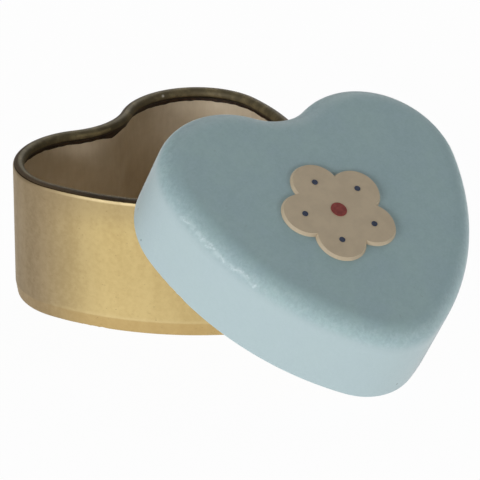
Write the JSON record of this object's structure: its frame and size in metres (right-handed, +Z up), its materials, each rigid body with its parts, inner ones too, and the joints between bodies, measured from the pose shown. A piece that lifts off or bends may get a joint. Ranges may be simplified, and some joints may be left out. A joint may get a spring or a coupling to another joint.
{
  "type": "keepsake tin",
  "caption": "Small heart-shaped metal keepsake tin standing open, its rounded lid leaning on the rim, with a pressed and enamelled flower on the lid.",
  "frame": {"origin": "centre of the tin's flat underside, on the floor it stands on", "axes": "+Z up out of the tin's mouth; the heart's point looks toward -Y and its cleft toward +Y; +X is to the right seen from the point's side"},
  "size_m": [0.0602, 0.0902, 0.0423],
  "materials": {
    "gold_lacquered_tinplate": "satin gold lacquer on thin steel sheet",
    "pale_blue_painted_tinplate": "matte pale blue paint on thin steel sheet",
    "cream_enamel": "matte printed enamel",
    "dark_red_enamel": "matte printed enamel",
    "navy_enamel": "matte printed enamel"
  },
  "bodies": {
    "tin": {"tin_body": "gold_lacquered_tinplate"},
    "lid": {"lid_shell": "pale_blue_painted_tinplate", "flower_enamel": "cream_enamel", "flower_centre_enamel": "dark_red_enamel", "petal_dots_enamel": "navy_enamel"}
  },
  "joints": [
    {"name": "lid_lift", "type": "slide", "parent": "tin", "child": "lid", "axis": [0, 0, 1], "range_m": [0, 0.045]}
  ]
}
